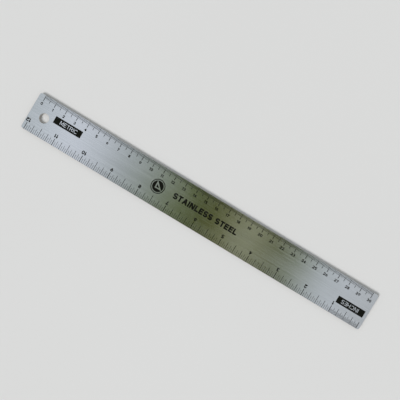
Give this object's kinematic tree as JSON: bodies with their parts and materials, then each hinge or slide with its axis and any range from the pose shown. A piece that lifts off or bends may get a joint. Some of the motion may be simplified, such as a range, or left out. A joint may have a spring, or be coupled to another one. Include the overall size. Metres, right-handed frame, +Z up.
{
  "type": "steel ruler",
  "caption": "Flat cork-backed steel ruler with centimetre and inch scales along its two long edges and a hanging hole at one end.",
  "frame": {"origin": "on the surface that the ruler lies on, under the middle of its length and width", "axes": "+X along the length, from the hanging-hole end (0 cm) to the 30 cm end; +Y across, towards the metric edge; +Z up, out of the marked face"},
  "size_m": [0.31, 0.0316, 0.0022],
  "materials": {
    "brushed_steel": "satin, brushed lengthwise",
    "adhesive": "cured contact adhesive, slightly translucent amber",
    "cork": "agglomerated cork, matte granular",
    "mark_paint": "matte black enamel fill in an etched recess"
  },
  "bodies": {
    "root": {"steel_blade": "brushed_steel", "adhesive_film": "adhesive", "cork_backing": "cork", "millimetre_ticks": "mark_paint", "half_centimetre_ticks": "mark_paint", "centimetre_ticks": "mark_paint", "metric_numerals": "mark_paint", "thirty_second_inch_ticks": "mark_paint", "sixteenth_inch_ticks": "mark_paint", "eighth_inch_ticks": "mark_paint", "quarter_inch_ticks": "mark_paint", "half_inch_ticks": "mark_paint", "inch_ticks": "mark_paint", "inch_numerals": "mark_paint", "metric_label": "mark_paint", "inches_label": "mark_paint", "drafting_emblem": "mark_paint", "steel_marking": "mark_paint"}
  },
  "joints": []
}
